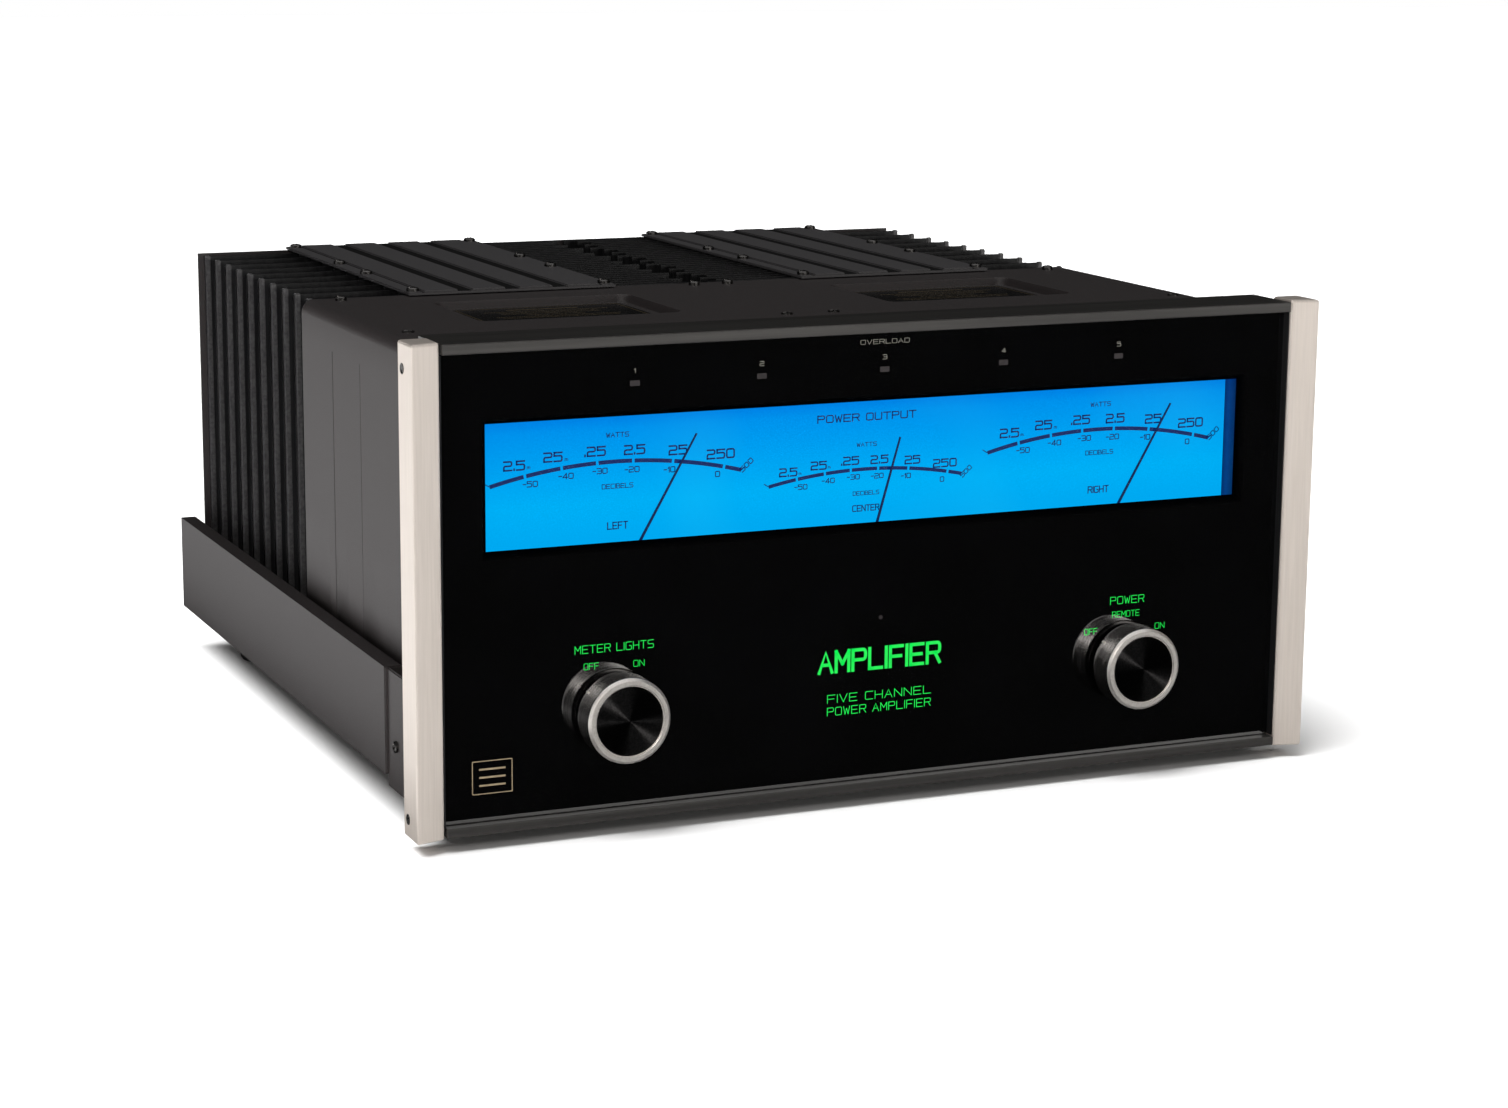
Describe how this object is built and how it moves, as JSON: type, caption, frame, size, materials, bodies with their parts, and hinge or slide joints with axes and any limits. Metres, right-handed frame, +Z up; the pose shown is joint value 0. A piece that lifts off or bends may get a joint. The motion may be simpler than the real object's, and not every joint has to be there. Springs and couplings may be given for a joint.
{
  "type": "power amplifier",
  "caption": "Wide hi-fi power amplifier: black glass front with lit blue meters and turning knobs, side pillars, finned heatsinks, ribbed top covers and rear terminals.",
  "frame": {"origin": "bottom centre of the overall box, on the surface the feet stand on", "axes": "+Z up, the front panel faces -Y, +X to the right as seen from the front"},
  "size_m": [0.4444, 0.4654, 0.2215],
  "materials": {
    "champagne_aluminium": "satin champagne-silver anodised, fine grain",
    "panel_glass": "polished glass, painted black behind, clear at the meter window",
    "black_anodised": "satin black anodised extrusion",
    "grey_paint": "fine-textured dark grey powder coat",
    "black_paint": "satin black paint",
    "steel": "zinc-plated steel",
    "lit_scale": "translucent printed scale, back-lit azure blue",
    "needle": "matt dark navy",
    "black_plastic": "moulded black plastic",
    "circuit_board": "solder-masked laminate",
    "knob_metal": "knurled dark chrome with a bright chamfered rim",
    "knob_inlay": "black spun aluminium",
    "transformer": "varnished steel core and winding",
    "capacitor_sleeve": "shrink sleeve over aluminium can",
    "foot_rubber": "matt black rubber",
    "gold_plate": "gold-plated knurled brass"
  },
  "bodies": {
    "chassis": {"end_cap_left": "champagne_aluminium", "end_cap_right": "champagne_aluminium", "front_glass": "panel_glass", "panel_top_rail": "black_anodised", "panel_bottom_rail": "black_anodised", "heatsink_left_outer": "black_anodised", "heatsink_left_inner": "black_anodised", "heatsink_right_inner": "black_anodised", "heatsink_right_outer": "black_anodised", "front_cover": "grey_paint", "chassis_tray": "grey_paint", "vent_cover_left": "grey_paint", "vent_cover_right": "grey_paint", "rear_panel": "grey_paint", "bottom_cover": "black_paint", "meter_housing": "black_paint", "front_subpanel": "steel", "meter_scale_plate": "lit_scale", "meter_movement_left": "black_plastic", "meter_movement_center": "black_plastic", "meter_movement_right": "black_plastic", "lights_switch": "black_plastic", "power_switch": "black_plastic", "mains_inlet": "black_plastic", "fuse_holder": "black_plastic", "speaker_terminal_strip": "black_plastic", "input_jack_board": "black_plastic", "meter_light_board": "circuit_board", "overload_lamp_board": "circuit_board", "legend_light_board": "circuit_board", "power_supply_board": "circuit_board", "amp_board_left": "circuit_board", "amp_board_right": "circuit_board", "power_transformer": "transformer", "filter_capacitor_left": "capacitor_sleeve", "filter_capacitor_right": "capacitor_sleeve", "foot_front_left": "foot_rubber", "foot_front_right": "foot_rubber", "foot_rear_left": "foot_rubber", "foot_rear_right": "foot_rubber"},
    "lights_knob": {"lights_knob": "knob_metal", "lights_knob_inlay": "knob_inlay", "lights_switch_shaft": "steel"},
    "power_knob": {"power_knob": "knob_metal", "power_knob_inlay": "knob_inlay", "power_switch_shaft": "steel"},
    "meter_needle_left": {"meter_needle_left": "needle"},
    "meter_needle_center": {"meter_needle_center": "needle"},
    "meter_needle_right": {"meter_needle_right": "needle"},
    "fuse_cap": {"fuse_cap": "black_plastic"},
    "terminal_nut_ch1_negative": {"terminal_nut_ch1_negative": "gold_plate"},
    "terminal_nut_ch1_positive": {"terminal_nut_ch1_positive": "gold_plate"},
    "terminal_nut_ch2_negative": {"terminal_nut_ch2_negative": "gold_plate"},
    "terminal_nut_ch2_positive": {"terminal_nut_ch2_positive": "gold_plate"},
    "terminal_nut_ch3_negative": {"terminal_nut_ch3_negative": "gold_plate"},
    "terminal_nut_ch3_positive": {"terminal_nut_ch3_positive": "gold_plate"},
    "terminal_nut_ch4_negative": {"terminal_nut_ch4_negative": "gold_plate"},
    "terminal_nut_ch4_positive": {"terminal_nut_ch4_positive": "gold_plate"},
    "terminal_nut_ch5_negative": {"terminal_nut_ch5_negative": "gold_plate"},
    "terminal_nut_ch5_positive": {"terminal_nut_ch5_positive": "gold_plate"}
  },
  "joints": [
    {"name": "lights_knob_turn", "type": "hinge", "parent": "chassis", "child": "lights_knob", "pos_m": [-0.1282, -0.22385, 0.0539], "axis": [0, 1, 0], "range_deg": [0, 54]},
    {"name": "power_knob_turn", "type": "hinge", "parent": "chassis", "child": "power_knob", "pos_m": [0.1282, -0.22385, 0.0539], "axis": [0, 1, 0], "range_deg": [0, 98]},
    {"name": "meter_left_swing", "type": "hinge", "parent": "chassis", "child": "meter_needle_left", "pos_m": [-0.1207, -0.22385, 0.109], "axis": [0, 1, 0], "range_deg": [-82, 22], "stiffness_Nm_per_rad": 0.002},
    {"name": "meter_center_swing", "type": "hinge", "parent": "chassis", "child": "meter_needle_center", "pos_m": [0, -0.22385, 0.109], "axis": [0, 1, 0], "range_deg": [-68, 36], "stiffness_Nm_per_rad": 0.002},
    {"name": "meter_right_swing", "type": "hinge", "parent": "chassis", "child": "meter_needle_right", "pos_m": [0.1207, -0.22385, 0.109], "axis": [0, 1, 0], "range_deg": [-82, 22], "stiffness_Nm_per_rad": 0.002},
    {"name": "fuse_cap_turn", "type": "hinge", "parent": "chassis", "child": "fuse_cap", "pos_m": [0.0755, -0.22385, 0.046], "axis": [0, 1, 0], "range_deg": [0, 60]},
    {"name": "ch1_negative_unscrew", "type": "slide", "parent": "chassis", "child": "terminal_nut_ch1_negative", "axis": [0, 1, 0], "range_m": [0, 0.005]},
    {"name": "ch1_positive_unscrew", "type": "slide", "parent": "chassis", "child": "terminal_nut_ch1_positive", "axis": [0, 1, 0], "range_m": [0, 0.005]},
    {"name": "ch2_negative_unscrew", "type": "slide", "parent": "chassis", "child": "terminal_nut_ch2_negative", "axis": [0, 1, 0], "range_m": [0, 0.005]},
    {"name": "ch2_positive_unscrew", "type": "slide", "parent": "chassis", "child": "terminal_nut_ch2_positive", "axis": [0, 1, 0], "range_m": [0, 0.005]},
    {"name": "ch3_negative_unscrew", "type": "slide", "parent": "chassis", "child": "terminal_nut_ch3_negative", "axis": [0, 1, 0], "range_m": [0, 0.005]},
    {"name": "ch3_positive_unscrew", "type": "slide", "parent": "chassis", "child": "terminal_nut_ch3_positive", "axis": [0, 1, 0], "range_m": [0, 0.005]},
    {"name": "ch4_negative_unscrew", "type": "slide", "parent": "chassis", "child": "terminal_nut_ch4_negative", "axis": [0, 1, 0], "range_m": [0, 0.005]},
    {"name": "ch4_positive_unscrew", "type": "slide", "parent": "chassis", "child": "terminal_nut_ch4_positive", "axis": [0, 1, 0], "range_m": [0, 0.005]},
    {"name": "ch5_negative_unscrew", "type": "slide", "parent": "chassis", "child": "terminal_nut_ch5_negative", "axis": [0, 1, 0], "range_m": [0, 0.005]},
    {"name": "ch5_positive_unscrew", "type": "slide", "parent": "chassis", "child": "terminal_nut_ch5_positive", "axis": [0, 1, 0], "range_m": [0, 0.005]}
  ]
}
